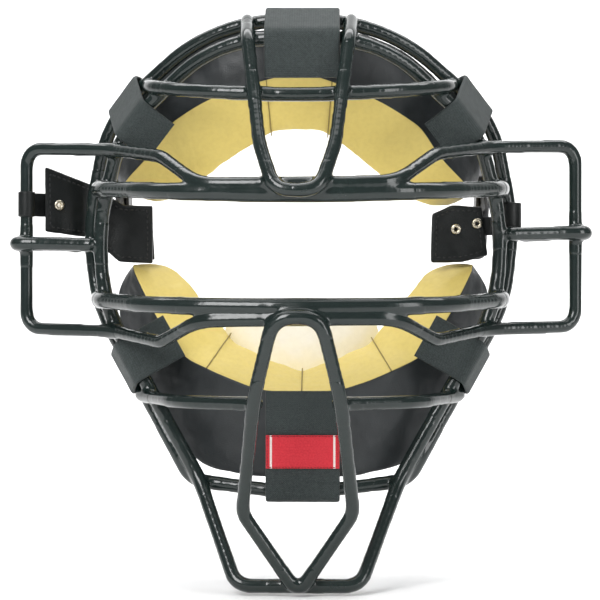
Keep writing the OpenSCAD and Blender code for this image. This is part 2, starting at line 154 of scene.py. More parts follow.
def arc_path(corners, step=2.5):
    """Points along straight runs joined by arcs. Corners are (point, bend radius)."""
    points = [Vector(corners[0][0])]
    for i in range(1, len(corners) - 1):
        before, here, after = (Vector(corners[i + k][0]) for k in (-1, 0, 1))
        radius = corners[i][1]
        arriving = (here - before).normalized()
        leaving = (after - here).normalized()
        angle = arriving.angle(leaving)
        if radius <= 0 or angle < 0.01:
            points.append(here)
            continue
        start = here - arriving * radius * math.tan(angle / 2)
        inward = (leaving - arriving * leaving.dot(arriving)).normalized()
        centre = start + inward * radius
        count = max(3, round(math.degrees(angle) / 9))
        for k in range(count + 1):
            a = angle * k / count
            points.append(centre - inward * radius * math.cos(a) + arriving * radius * math.sin(a))
    points.append(Vector(corners[-1][0]))
    dense = [points[0]]
    for a, b in zip(points, points[1:]):
        count = max(1, math.ceil((b - a).length / step))
        dense += [a.lerp(b, k / count) for k in range(1, count + 1)]
    return dense


def path_length(path):
    return sum((b - a).length for a, b in zip(path, path[1:]))


def ribbon(name, path, side, width, thick, mats, body=None, wave=0.15, along=0.0):
    """A woven band along a path, its width along side, with rounded selvedges.

    along is the distance already woven before the path starts.
    """
    half = width / 2
    across = 12
    edge = thick / 2
    profile = []
    for k in range(across + 1):
        profile.append((-half + edge + (width - thick) * k / across, edge))
    for a in (45, 0, -45):
        profile.append((half - edge + edge * math.cos(math.radians(a)), edge * math.sin(math.radians(a))))
    for k in range(across + 1):
        profile.append((half - edge - (width - thick) * k / across, -edge))
    for a in (225, 180, 135):
        profile.append((-half + edge + edge * math.cos(math.radians(a)), edge * math.sin(math.radians(a))))
    ring = len(profile)
    verts, uvs, faces = [], [], []
    for i, point in enumerate(path):
        ahead = path[min(i + 1, len(path) - 1)] - path[max(i - 1, 0)]
        if i:
            along += (point - path[i - 1]).length
        normal = side.cross(ahead).normalized()
        for s, t in profile:
            place = point + side * s
            verts.append(place + normal * (t + wave * noise.noise(place * 0.11)))
            uvs.append((s, along))
    for i in range(len(path) - 1):
        for k in range(ring):
            a, b = i * ring + k, i * ring + (k + 1) % ring
            faces.append((a, b, b + ring, a + ring))
    faces.append(tuple(range(ring)))
    faces.append(tuple(range(len(verts) - ring, len(verts))))
    return new_object(name, verts, faces, mats, body, uvs)


LATHE_TURNS = 32


def lathe(name, profile, frame_matrix, mats, body):
    """A closed profile of (radius, height) in mm, turned about the local z axis."""
    verts, faces = [], []
    count = len(profile)
    for k in range(LATHE_TURNS):
        a = 2 * math.pi * k / LATHE_TURNS
        verts += [frame_matrix @ Vector((r * math.cos(a), r * math.sin(a), h)) for r, h in profile]
    for k in range(LATHE_TURNS):
        for i in range(count):
            a, b = k * count + i, k * count + (i + 1) % count
            c, d = ((k + 1) % LATHE_TURNS) * count + (i + 1) % count, ((k + 1) % LATHE_TURNS) * count + i
            faces.append((a, b, c, d))
    return new_object(name, verts, faces, mats, body)


# Sections along a stitch: how far along it, share of the radius, and height in radii.
STITCH_SECTIONS = ((0, 0.35, -0.5), (0.2, 0.9, -0.1), (0.5, 1, 0.1), (0.8, 0.9, -0.1), (1, 0.35, -0.5))
STITCH_SIDES = 6


def stitches(name, path, normal, mat, body, pitch, length, radius):
    """A row of separate thread stitches lying along a path, each with tapered ends."""
    verts, faces = [], []
    lengths = [0.0]
    for a, b in zip(path, path[1:]):
        lengths.append(lengths[-1] + (b - a).length)

    def at(distance):
        for i in range(len(path) - 1):
            if distance <= lengths[i + 1] or i == len(path) - 2:
                span = max(lengths[i + 1] - lengths[i], 1e-6)
                return path[i].lerp(path[i + 1], (distance - lengths[i]) / span)

    for number in range(int(lengths[-1] / pitch)):
        middle = (number + 0.5) * pitch
        start, end = at(middle - length / 2), at(middle + length / 2)
        axis = (end - start).normalized()
        out = (normal - axis * normal.dot(axis)).normalized()
        cross = axis.cross(out)
        first = len(verts)
        for along, share, lift in STITCH_SECTIONS:
            centre = start.lerp(end, along) + out * lift * radius
            for k in range(STITCH_SIDES):
                turn = 2 * math.pi * k / STITCH_SIDES
                spoke = out * math.sin(turn) + cross * math.cos(turn)
                verts.append(centre + spoke * radius * share)
        last = first + (len(STITCH_SECTIONS) - 1) * STITCH_SIDES
        for ring in range(first, last, STITCH_SIDES):
            for a in range(STITCH_SIDES):
                b = (a + 1) % STITCH_SIDES
                faces.append((ring + a, ring + b, ring + STITCH_SIDES + b, ring + STITCH_SIDES + a))
        faces.append(tuple(range(first, first + STITCH_SIDES)))
        faces.append(tuple(range(last, last + STITCH_SIDES)))
    return new_object(name, verts, faces, mat, body)


# ------------------------------------------------------------------ materials

class Paint:
    """Builds one procedural material on top of the Principled shader."""

    def __init__(self, name, rough, color):
        self.mat = bpy.data.materials.new(name)
        self.mat.use_nodes = True
        self.tree = self.mat.node_tree
        self.bsdf = self.tree.nodes["Principled BSDF"]
        self.bsdf.inputs["Roughness"].default_value = rough
        self.bsdf.inputs["Base Color"].default_value = (*color, 1)
        self.mat.diffuse_color = (*color, 1)
        coords = self.tree.nodes.new("ShaderNodeTexCoord")
        self.place = coords.outputs["Object"]
        self.uv = coords.outputs["UV"]
        self.height = None

    def node(self, kind, inputs=None, **props):
        made = self.tree.nodes.new("ShaderNode" + kind)
        for key, value in props.items():
            setattr(made, key, value)
        for key, value in (inputs or {}).items():
            if isinstance(value, bpy.types.NodeSocket):
                self.tree.links.new(value, made.inputs[key])
            else:
                made.inputs[key].default_value = value
        return made

    def noise(self, size_mm, detail=3):
        made = self.node("TexNoise", {
            "Vector": self.place, "Scale": 1 / (size_mm * MM), "Detail": detail, "Roughness": 0.55})
        return made.outputs["Fac"]

    def cells(self, size_mm, feature="DISTANCE_TO_EDGE"):
        made = self.node("TexVoronoi", {"Vector": self.place, "Scale": 1 / (size_mm * MM)}, feature=feature)
        return made.outputs["Distance"]

    def remap(self, value, low, high, to_low=0.0, to_high=1.0):
        made = self.node("MapRange", {"Value": value, "From Min": low, "From Max": high,
                                      "To Min": to_low, "To Max": to_high})
        return made.outputs["Result"]

    def math(self, operation, a, b=0.0):
        return self.node("Math", {0: a, 1: b}, operation=operation).outputs[0]

    def mix(self, factor, a, b):
        made = self.node("Mix", data_type="RGBA")
        for index, value in ((0, factor), (6, a), (7, b)):
            if isinstance(value, bpy.types.NodeSocket):
                self.tree.links.new(value, made.inputs[index])
            else:
                made.inputs[index].default_value = (*value, 1) if index else value
        return made.outputs[2]

    def color(self, socket):
        self.tree.links.new(socket, self.bsdf.inputs["Base Color"])

    def rough(self, socket):
        self.tree.links.new(socket, self.bsdf.inputs["Roughness"])

    def patchy_rough(self, low, high, size_mm, detail):
        """Roughness that wanders between two values, in patches of a size."""
        self.rough(self.remap(self.noise(size_mm, detail), 0.3, 0.7, low, high))

    def bump(self, value, depth_mm, strength=1.0):
        """Adds a layer of relief, depth_mm high where value is 1."""
        inputs = {"Height": value, "Distance": depth_mm * MM, "Strength": strength}
        if self.height:
            inputs["Normal"] = self.height
        self.height = self.node("Bump", inputs).outputs["Normal"]
        self.tree.links.new(self.height, self.bsdf.inputs["Normal"])

    def extra(self, **values):
        for key, value in values.items():
            self.bsdf.inputs[key.replace("_", " ")].default_value = value

    def wave(self, axis, pitch):
        """A sine across the band (axis 0) or along it (axis 1), from the weave UVs in mm."""
        split = self.node("SeparateXYZ", {"Vector": self.uv})
        turn = self.math("MULTIPLY", split.outputs[axis], 2 * math.pi / pitch)
        return self.math("SINE", turn)


def vinyl_coat():
    """Thick glossy dip on the wire: near black with a green cast, slightly uneven."""
    p = Paint("vinyl_coat", 0.2, (0.02, 0.03, 0.028))
    p.color(p.mix(p.noise(14), (0.006, 0.0115, 0.0105), (0.0115, 0.0195, 0.018)))
    p.patchy_rough(0.16, 0.27, 6, 4)
    p.bump(p.noise(18, 2), 0.14, 0.5)
    p.bump(p.noise(1.1, 2), 0.008, 0.35)
    p.extra(Specular_IOR_Level=0.36, Coat_Weight=0.3, Coat_Roughness=0.1)
    return p.mat


def pad_vinyl():
    """Black upholstery vinyl with a pebbled grain."""
    p = Paint("pad_vinyl", 0.4, (0.02, 0.024, 0.025))
    p.color(p.mix(p.noise(9), (0.011, 0.014, 0.0155), (0.023, 0.027, 0.029)))
    grain = p.remap(p.cells(0.8), 0.0, 0.35)
    p.rough(p.remap(grain, 0.0, 1.0, 0.5, 0.36))
    p.bump(p.noise(12, 3), 0.5, 0.35)
    p.bump(grain, 0.09, 0.5)
    p.extra(Specular_IOR_Level=0.45, Sheen_Weight=0.03)
    return p.mat


def tan_leather():
    """Soft glove leather: warm yellow tan, mottled, with a fine grain and faint creases."""
    p = Paint("tan_leather", 0.5, (0.68, 0.5, 0.18))
    tone = p.mix(p.noise(22, 3), (0.77, 0.615, 0.185), (0.69, 0.545, 0.155))
    fine = p.remap(p.noise(2.2, 5), 0.42, 0.7, 0.0, 0.22)
    p.color(p.mix(fine, tone, (0.56, 0.42, 0.12)))
    pores = p.remap(p.cells(0.55), 0.0, 0.3)
    creases = p.node("TexNoise", {"Vector": p.place, "Scale": 1 / (16 * MM), "Detail": 4.0,
                                  "Roughness": 0.6, "Distortion": 1.4}).outputs["Fac"]
    p.patchy_rough(0.42, 0.58, 3, 4)
    p.bump(creases, 1.1, 0.28)
    p.bump(pores, 0.05, 0.4)
    p.extra(Specular_IOR_Level=0.4, Sheen_Weight=0.12, Sheen_Roughness=0.4)
    return p.mat


def weave(name, dark, light, pitch_across, pitch_along, rough=0.75, depth=0.22):
    """Woven band: warp cords along it and weft picks across it. Its colour carries painted shade, darker in
    the hollows of the weave and lighter on the raised crossings, mixed with random fuzz in the thread's own
    tone.
    """
    p = Paint(name, rough, dark)
    warp = p.wave(0, pitch_across)
    weft = p.wave(1, pitch_along)
    plait = p.math("MULTIPLY", warp, weft)
    lifted = p.remap(plait, -1.0, 1.0)
    fuzz = p.noise(0.7, 4)
    fuzz_tone = p.math("MULTIPLY", p.remap(fuzz, 0.25, 0.75), 0.6)
    # Painted shade: the raised crossings are coloured lighter and the hollows between them darker; the fuzz
    # part is random tone.
    weave_shade_and_fuzz_tone = p.math("ADD", p.math("MULTIPLY", lifted, 0.4), fuzz_tone)
    p.color(p.mix(weave_shade_and_fuzz_tone, dark, light))
    p.patchy_rough(rough - 0.08, rough + 0.08, 3, 3)
    p.bump(p.remap(weft, -1.0, 1.0), depth, 0.5)
    p.bump(lifted, depth * 0.7, 0.6)
    p.bump(fuzz, 0.12, 0.35)
    p.extra(Sheen_Weight=0.1, Sheen_Roughness=0.5, Specular_IOR_Level=0.25)
    return p.mat


def black_leather():
    """Stiff harness leather with a tight grain and rubbed highlights."""
    p = Paint("black_leather", 0.36, (0.005, 0.006, 0.006))
    p.color(p.mix(p.noise(8, 4), (0.003, 0.004, 0.004), (0.01, 0.012, 0.012)))
    grain = p.remap(p.cells(1.1), 0.0, 0.4)
    p.patchy_rough(0.3, 0.46, 4, 4)
    p.bump(p.noise(10, 2), 0.5, 0.35)
    p.bump(grain, 0.1, 0.5)
    p.extra(Specular_IOR_Level=0.3)
    return p.mat


def plated_metal():
    p = Paint("plated_metal", 0.25, (0.7, 0.64, 0.5))
    p.color(p.mix(p.noise(1.2, 4), (0.75, 0.7, 0.58), (0.55, 0.48, 0.36)))
    p.patchy_rough(0.18, 0.38, 0.6, 4)
    p.bump(p.noise(0.5, 3), 0.02, 0.4)
    p.extra(Metallic=1.0)
    return p.mat


def felt():
    p = Paint("felt", 0.95, (0.3, 0.29, 0.26))
    p.color(p.mix(p.noise(1.1, 6), (0.2, 0.19, 0.17), (0.4, 0.38, 0.34)))
    p.bump(p.noise(0.6, 6), 0.5, 0.6)
    p.bump(p.noise(2.5, 4), 0.4, 0.4)
    p.extra(Sheen_Weight=0.5, Sheen_Roughness=0.7, Specular_IOR_Level=0.1)
    return p.mat


def lining_cloth():
    """Pale brushed cloth inside the chin cup."""
    p = Paint("lining_cloth", 0.85, (0.86, 0.83, 0.76))
    p.color(p.mix(p.noise(3, 5), (0.9, 0.875, 0.81), (0.8, 0.77, 0.69)))
    p.bump(p.cells(0.9, "F1"), 0.15, 0.4)
    p.bump(p.noise(7, 3), 0.6, 0.3)
    p.extra(Sheen_Weight=0.3, Specular_IOR_Level=0.2)
    return p.mat


def moulded_plastic():
    p = Paint("moulded_plastic", 0.42, (0.016, 0.017, 0.019))
    p.color(p.mix(p.noise(5, 3), (0.013, 0.014, 0.016), (0.024, 0.025, 0.027)))
    p.patchy_rough(0.36, 0.52, 0.8, 4)
    p.bump(p.noise(0.4, 3), 0.03, 0.5)
    return p.mat


def thread(name, color):
    p = Paint(name, 0.6, color)
    p.color(p.mix(p.noise(0.6, 3), color, tuple(c * 0.6 for c in color)))
    p.bump(p.noise(0.3, 2), 0.06, 0.5)
    return p.mat


COAT = vinyl_coat()
PAD = pad_vinyl()
TAN = tan_leather()
WEBBING = weave("webbing", (0.009, 0.0125, 0.0125), (0.05, 0.062, 0.061), 1.1, 0.9, depth=0.16)
ELASTIC = weave("elastic", (0.008, 0.008, 0.009), (0.04, 0.041, 0.043), 1.9, 0.8, depth=0.3)
LABEL = weave("label", (0.42, 0.012, 0.025), (0.66, 0.035, 0.05), 0.7, 0.7, rough=0.6, depth=0.08)
STRIPE = weave("label_stripe", (0.6, 0.5, 0.48), (0.85, 0.78, 0.75), 0.6, 0.6, rough=0.6, depth=0.08)
LEATHER = black_leather()
METAL = plated_metal()
FELT = felt()
LINING = lining_cloth()
PLASTIC = moulded_plastic()
DARK_THREAD = thread("dark_thread", (0.016, 0.018, 0.018))
SEAM = thread("seam_thread", (0.33, 0.25, 0.07))


# ------------------------------------------------------------------ dipped wire cage

WIRES = [
    "rear_ring", "front_ring", "upper_main_bar", "lower_main_bar", "ear_guard_wire", "brow_bar",
    "upper_u_bar", "lower_u_bar", "cheek_bar_left", "cheek_bar_right",
    "ear_mid_bar_left", "ear_mid_bar_right",
]
COAT_VOXEL = 0.9
COAT_PASSES = 26
COAT_SWELL = 0.96
WEB_REACH = 8.0
WEB_VOXEL = 0.6
WEB_PASSES = 40
WEB_SWELL = 0.36
WEB_SPACING = 3.0


def coat_unevenness(p, n):
    """The dip gathers and thins a little along the wire."""
    return n * 0.14 * noise.noise(p * 0.045)


coated = {}
for wire in WIRES:
    coated[wire] = softened(wire, wire + "_coat", COAT_VOXEL, COAT_PASSES, COAT_SWELL,
                            COAT, "cage")
    shift(coated[wire], coat_unevenness)


def contacts(first, second, reach=1.6, spacing=6.0):
    """Places, in mm, where two coated wires run into each other."""
    tree = KDTree(len(second.data.vertices))
    for v in second.data.vertices:
        tree.insert(v.co, v.index)
    tree.balance()
    found = []
    for v in list(first.data.vertices)[::3]:
        if tree.find(v.co)[2] < reach * MM:
            place = v.co / MM
            if all((place - other).length > spacing for other in found):
                found.append(place)
    return found


def clipped(obj, centre, reach):
    """The part of obj within a box round centre, as a bmesh with its cut ends closed."""
    bm = bmesh.new()
    bm.from_mesh(obj.data)
    far = [v for v in bm.verts if max(abs(c) for c in v.co / MM - centre) > reach + 4]
    bmesh.ops.delete(bm, geom=far, context="VERTS")
    for axis in range(3):
        for sign in (-1, 1):
            normal = Vector([sign if k == axis else 0 for k in range(3)])
            bmesh.ops.bisect_plane(
                bm, geom=bm.verts[:] + bm.edges[:] + bm.faces[:], clear_outer=True,
                plane_co=(centre + normal * reach) * MM, plane_no=normal)
    bmesh.ops.holes_fill(bm, edges=[e for e in bm.edges if e.is_boundary], sides=0)
    return bm


def weld_web(name, places):
    """Fillets of vinyl where wires meet: local copies fused, then relaxed until they web over."""
    total = bmesh.new()
    for first, second, centre in places:
        for wire in (first, second):
            part = clipped(coated[wire], centre, WEB_REACH)
            mesh = bpy.data.meshes.new("part")
            part.to_mesh(mesh)
            part.free()
            total.from_mesh(mesh)
            bpy.data.meshes.remove(mesh)
    mesh = bpy.data.meshes.new(name)
    total.to_mesh(mesh)
    total.free()
    obj = bpy.data.objects.new(name, mesh)
    scene.collection.objects.link(obj)
    modify(obj, "REMESH", mode="VOXEL", voxel_size=WEB_VOXEL * MM)
    modify(obj, "SMOOTH", factor=0.5, iterations=WEB_PASSES)
    baked(obj)
    shift(obj, lambda p, n: n * WEB_SWELL)
    dress(obj, COAT)
    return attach(obj, "cage")


places = []
for i, first in enumerate(WIRES):
    for second in WIRES[i + 1:]:
        for centre in contacts(coated[first], coated[second]):
            if all((centre - other).length > WEB_SPACING for _, _, other in places):
                places.append((first, second, centre))
weld_web("weld_fillets", places)


# ------------------------------------------------------------------ padded cushions

def spline(points, count):
    """count + 1 points evenly spaced along a smooth curve through 2D or 3D points."""
    points = [Vector(p) for p in points]
    dense = []
    for i in range(len(points) - 1):
        p0 = points[max(i - 1, 0)]
        p1, p2 = points[i], points[i + 1]
        p3 = points[min(i + 2, len(points) - 1)]
        for k in range(20):
            t = k / 20
            dense.append(0.5 * (2 * p1 + (p2 - p0) * t + (2 * p0 - 5 * p1 + 4 * p2 - p3) * t * t
                                + (3 * p1 - p0 - 3 * p2 + p3) * t ** 3))
    dense.append(points[-1])
    lengths = [0.0]
    for a, b in zip(dense, dense[1:]):
        lengths.append(lengths[-1] + (b - a).length)
    result, j = [], 0
    for k in range(count + 1):
        target = lengths[-1] * k / count
        while j < len(dense) - 2 and lengths[j + 1] < target:
            j += 1
        span = max(lengths[j + 1] - lengths[j], 1e-9)
        result.append(dense[j].lerp(dense[j + 1], min(1, max(0, (target - lengths[j]) / span))))
    return result


def both_sides(half):
    """Points of the right half, from the centre out, carried across to the left."""
    left = [(-x, z) for x, z in reversed(half) if x > 0]
    return left + half


def curved(x, foremost, radius):
    """Depth of an upright cylinder's surface at x, given its foremost depth."""
    return foremost + radius - math.sqrt(radius ** 2 - min(abs(x), radius - 1) ** 2)


def settled(half, drift, tilt):
    """Both sides of a half outline, drifting sideways away from the centre line and tilting."""
    return [(x - drift * min(1.0, abs(x) / 40), z - tilt * x) for x, z in both_sides(half)]


PAD_FRONT = -12.0
PAD_FRONT_R = 120.0
PAD_LIMIT = 57.0
STATIONS = 72
EDGE_SET = 3.0
RIM_DEPTH = 0.62
BACK_PULL = 0.25
END_STATIONS = 3
SWELL_CAP = 5.0
SEAM_T = 1.1
SEAM_W = 0.6


def section_marks(o, b, n, foremost_face, face_r):
    """Corners of a pad's section: front outer edge, border, inner rim and back outer edge."""
    front = [curved(p.x, PAD_FRONT, PAD_FRONT_R) for p in (o, b, n)]
    back = [min(PAD_LIMIT, curved(p.x, foremost_face, face_r)) for p in (o, n)]
    back_edge = o.lerp(b, BACK_PULL)
    return (
        Vector((o.x, front[0] + EDGE_SET, o.y)),
        Vector((b.x, front[1], b.y)),
        Vector((n.x, front[2] + (back[1] - front[2]) * RIM_DEPTH, n.y)),
        Vector((back_edge.x, back[0] - EDGE_SET, back_edge.y)))


def end_shrink(i):
    """Size of the section at a station, which rounds off over the last few at each end."""
    from_end = min(i, STATIONS - i) / END_STATIONS
    if from_end >= 1:
        return 1.0
    return math.sqrt(max(0.0, 1 - (1 - min(1, from_end + 0.08)) ** 2))


def cushion(name, outlines, foremost_face, face_r, seams, replaced, width_cells):
    """A C-shaped pad lofted along its length: black front, tan rim and face side, then inflated."""
    outer, border, inner = (spline(line, STATIONS) for line in outlines)
    panels = (("front", width_cells, 0), ("rim", 6, 1), ("face", 10, 1), ("gusset", 6, 0))
    verts, pinned, tags = [], [], []
    ring = sum(cells for _, cells, _ in panels)
    seam_stations = sorted({min(range(STATIONS + 1), key=lambda i: abs(border[i].x - s)) for s in seams})
    sewn = []
    for i in range(STATIONS + 1):
        marks = section_marks(outer[i], border[i], inner[i], foremost_face, face_r)
        if i in seam_stations:
            sewn.append((i, marks[1:]))
        middle = (marks[0] + marks[1] + marks[2] + marks[3]) / 4
        shrink = end_shrink(i)
        for p, (label, cells, _) in enumerate(panels):
            for k in range(cells):
                place = marks[p].lerp(marks[(p + 1) % 4], k / cells)
                verts.append(middle + (place - middle) * shrink)
                corner = k == 0 and label != "face"
                if corner or (i in seam_stations and label in ("rim", "face")):
                    pinned.append(len(verts) - 1)
    faces = []
    for i in range(STATIONS):
        k = 0
        for _, cells, tag in panels:
            for _ in range(cells):
                a, b = i * ring + k, i * ring + (k + 1) % ring
                faces.append((a, b, b + ring, a + ring))
                tags.append(tag)
                k += 1
    faces.append(tuple(range(ring)))
    faces.append(tuple(range(len(verts) - ring, len(verts))))
    tags += [1, 1]
    for i, line in sewn:
        run = border[i + 1] - border[i - 1]
        side = Vector((run.x, 0, run.y)).normalized()
        path = arc_path([(mark, 0) for mark in line])
        ribbon(f"{name}_seam_{i}", path, side, SEAM_W, SEAM_T, SEAM, "cage", wave=0)
    obj = new_object(name, verts, faces, [PAD, TAN], None, tags=tags)
    inflate(obj, pinned)
    crease_seams(obj, pinned)
    modify(obj, "SUBSURF", levels=2, render_levels=2)
    baked(obj)
    shift(obj, lambda p, n: n * (0.55 * noise.noise(p * 0.09) + 0.2 * noise.noise(p * 0.3)))
    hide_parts(*replaced)
    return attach(obj, "cage")


def inflate(obj, pinned):
    """Swells a closed mesh with cloth pressure, its seams held and each point's move capped."""
    rest = [v.co.copy() for v in obj.data.vertices]
    group = obj.vertex_groups.new(name="seams")
    group.add(pinned, 1.0, "REPLACE")
    mod = obj.modifiers.new("Cloth", "CLOTH")
    mod.settings.quality = 6
    mod.settings.mass = 0.15
    mod.settings.tension_stiffness = 8
    mod.settings.compression_stiffness = 8
    mod.settings.shear_stiffness = 4
    mod.settings.bending_stiffness = 0.6
    mod.settings.use_pressure = True
    mod.settings.uniform_pressure_force = 4
    mod.settings.vertex_group_mass = "seams"
    mod.settings.effector_weights.gravity = 0
    for number in range(1, 21):
        scene.frame_set(number)
    graph = bpy.context.evaluated_depsgraph_get()
    swollen = obj.evaluated_get(graph).data
    moved = [v.co.copy() for v in swollen.vertices]
    obj.modifiers.clear()
    obj.vertex_groups.clear()
    for vertex, start, end in zip(obj.data.vertices, rest, moved):
        step = end - start
        if step.length > SWELL_CAP * MM:
            step *= SWELL_CAP * MM / step.length
        vertex.co = start + step
    obj.data.update()
    scene.frame_set(1)


def crease_seams(obj, pinned):
    """Sharpens the sewn lines, so that the panels meet in a crease."""
    held = set(pinned)
    layer = obj.data.attributes.new("crease_edge", "FLOAT", "EDGE")
    for edge in obj.data.edges:
        if edge.vertices[0] in held and edge.vertices[1] in held:
            layer.data[edge.index].value = 0.75


# Right half outlines in the front view, in mm, from the centre line outwards.
TOP_OUTER = [(0, 104.5), (20, 104.5), (36, 102.5), (56, 94), (71, 81.5), (83, 65), (90, 48), (91, 35)]
TOP_BORDER = [
    (0, 83), (19.4, 79), (40.6, 71.3), (57, 62.2), (62, 57.8), (70.5, 46.1), (82.2, 34.8), (86, 30)]
TOP_INNER = [(0, 57.5), (12, 56.5), (24, 48.5), (35, 40.5), (45, 33), (56, 26), (68, 23), (81, 25)]
cushion("top_pad_cushion", [settled(line, 2.4, 0.018) for line in (TOP_OUTER, TOP_BORDER, TOP_INNER)],
        28, 105, (-15, 15), ("top_pad_cover", "top_pad_foam", "top_pad_facing"), 6)

CHIN_OUTER = [
    (0, -108.5), (14, -108.3), (32, -106.8), (48, -102.5), (61, -91.5),
    (74.5, -71), (84.5, -50), (91, -32), (91.5, -20), (86.5, -8.5)]
CHIN_BORDER = [
    (0, -67.5), (18.5, -66.5), (33.5, -61.8), (47, -56), (56.5, -51),
    (65.3, -40.2), (71.8, -30.5), (80, -15.4), (85, -5)]
CHIN_INNER = [
    (0, -57.7), (7.4, -55), (16.2, -52.3), (22.9, -48.3), (32.3, -44.3),
    (37.7, -36.9), (49.9, -22.7), (56.6, -14), (63.3, -8.6), (76, -4.4)]
cushion("chin_pad_cushion", [settled(line, -1.0, 0.0) for line in (CHIN_OUTER, CHIN_BORDER, CHIN_INNER)],
        34, 92, (0, -44, 44), ("chin_pad_cover", "chin_pad_foam", "chin_pad_facing"), 8)


def chin_lining():
    """Padded cloth cup behind the chin pad, a shallow bowl with a rolled top edge."""
    rows, cols = 14, 40
    top, low = -36.0, -61.0
    verts, faces = [], []
    for sheet, lift in ((0, 0.0), (1, 2.2)):
        for r in range(rows + 1):
            f = r / rows
            z = top + (low - top) * f
            half = 37.0 * math.sqrt(max(0.0, 1 - f ** 1.7)) + 12 * f + 0.5
            for c in range(cols + 1):
                x = -half + 2 * half * c / cols
                rim = min(1.0, 4 * min(f, 1 - f, c / cols, 1 - c / cols) + 0.25)
                dip = 1.2 * math.sin(math.pi * f) + 0.35 * math.sin(x * 0.5) * math.sin(z * 0.5)
                y = curved(x, 35.4, 92) + (lift * rim if sheet else -dip * rim)
                verts.append((x, y, z))
    size = (rows + 1) * (cols + 1)
    for r in range(rows):
        for c in range(cols):
            a = r * (cols + 1) + c
            quad = (a, a + 1, a + cols + 2, a + cols + 1)
            faces.append(quad)
            faces.append(tuple(size + k for k in reversed(quad)))
    rim = list(range(cols + 1))
    rim += [r * (cols + 1) + cols for r in range(1, rows + 1)]
    rim += [rows * (cols + 1) + c for c in range(cols - 1, -1, -1)]
    rim += [r * (cols + 1) for r in range(rows - 1, 0, -1)]
    for a, b in zip(rim, rim[1:] + rim[:1]):
        faces.append((a, b, b + size, a + size))
    obj = new_object("chin_cup_cloth", verts, faces, LINING, None)
    modify(obj, "SUBSURF", levels=1, render_levels=1)
    baked(obj)
    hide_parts("chin_cup_lining")
    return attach(obj, "cage")


chin_lining()


# ------------------------------------------------------------------ pad straps

STRAP_T = 2.0
STRAP_LAP = 0.3
CENTRE_STRAP_W = 35.0
SIDE_STRAP_W = 22.5
HINGE_REACH = 5.0


class StrapPlane:
    """Plane across the rings: u runs towards the middle of the mask, y towards the wearer."""

    def __init__(self, at, angle, lean, wrap):
        self.at = Vector(at)
        self.wrap = wrap
        self.u = Vector((math.cos(math.radians(angle)), 0, math.sin(math.radians(angle))))
        straight = Vector((0, 1, 0))
        lean = math.radians(lean)
        self.depth = straight * math.cos(lean) + self.u.cross(straight) * math.sin(lean)
        self.side = self.u.cross(self.depth)

    def point(self, u, y):
        return self.at + self.u * u + self.depth * y


def pad_strap(name, plane, front, rear_len, flap_end, width, rear_name, flap_name):
    """A strap round one or both rings, with a flap that runs on from its outer run and turns at a knee."""
    wrap = plane.wrap
    if front:
        u, y = front
        reach = math.hypot(u, y)
        knee = (u + wrap * (u - reach) / -y, y - wrap)
        corner = (-wrap, -wrap * (reach + y) / u)
        start = tuple(corner[k] + (knee[k] - corner[k]) * 0.45 for k in (0, 1))
        end = (flap_end[0], flap_end[1] - wrap)
        knee_r = 4.5
    else:
        corner, start, knee = (-wrap, -wrap), (4, -wrap), (14, -wrap)
        end, knee_r = flap_end, 12
    loop = arc_path([(plane.point(rear_len, wrap), 0), (plane.point(-wrap, wrap), 3.2),
                     (plane.point(*corner), 3.0), (plane.point(*start), 0)])
    flap = arc_path([(plane.point(*start), 0), (plane.point(*knee), knee_r), (plane.point(*end), 0)], 1.2)
    along = (plane.point(*knee) - plane.point(*start)).normalized()
    rear = ribbon(rear_name, loop, plane.side, width, STRAP_T, WEBBING, "cage")
    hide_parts(name)
    piece = ribbon(flap_name, [flap[0] - along * STRAP_LAP] + flap, plane.side, width, STRAP_T, WEBBING,
                   None, along=path_length(loop) - STRAP_LAP)
    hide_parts(flap_name.replace("_web", ""))
    plane.point(*start) * MM
    (plane.point(*start) + along * HINGE_REACH) * MM
    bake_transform(piece)


TOP_PLANE = StrapPlane((1.6, -18.55, 107.3), -90, 0, 5.25)
CHIN_PLANE = StrapPlane((1.6, -15.9, -113.8), 90, 0, 4.5)
pad_strap("top_strap", TOP_PLANE, (10.3, -17.7), 14, (29, -17.5), CENTRE_STRAP_W,
          "top_strap_web", "top_strap_flap_web")
pad_strap("chin_strap", CHIN_PLANE, None, 4.8, (47, -4), CENTRE_STRAP_W,
          "chin_strap_web", "chin_strap_flap_web")
for side, word in ((-1, "left"), (1, "right")):
    upper = StrapPlane((side * 82.37, 5.45, 72.6), 219 if side > 0 else -39, -side * 17.3, 4.25)
    lower = StrapPlane((side * 81.48, 5.04, -56.96), 150.3 if side > 0 else 29.7, side * 11, 4.65)
    for level, plane, front, flap_end in (
            ("upper", upper, (11.2, -19.75), (27, -18)),
            ("lower", lower, (4.23, -12.8), (27, -12.2))):
        name = f"{level}_{word}"
        pad_strap(name + "_strap", plane, front, 6, flap_end, SIDE_STRAP_W,
                  name + "_strap_web", name + "_flap_web")


def woven_label():
    """Plain red label on the chin flap, with a pale selvedge at each end and a stitched edge."""
    plane = CHIN_PLANE
    low, high = 10.7, 26.3
    face_y = -plane.wrap - STRAP_T / 2 - 0.75
    path = [plane.point(low + (high - low) * k / 12, face_y + 0.3) for k in range(13)]
    label = ribbon("strap_label_patch", path, plane.side, 34.6, 0.8, LABEL, "chin_flap", wave=0.1)
    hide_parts("strap_label")
    for number, s in ((1, -14.9), (2, 14.9)):
        line = [point + plane.side * s + Vector((0, -0.32, 0)) for point in path]
        ribbon(f"label_stripe_{number}", line, plane.side, 1.1, 0.4, STRIPE, "chin_flap", wave=0.1)
    low, high, half = low + 0.5, high - 0.5, 16.6
    corners = [(low, -half), (high, -half), (high, half), (low, half), (low, -half)]
    edge = arc_path([(plane.point(u, face_y - 0.2) + plane.side * s, 0) for u, s in corners])
    stitches("label_edge_stitches", edge, Vector((0, -1, 0)), thread("red_thread", (0.4, 0.01, 0.02)),
             "chin_flap", 1.5, 1.2, 0.28)


woven_label()


# ------------------------------------------------------------------ harness tabs

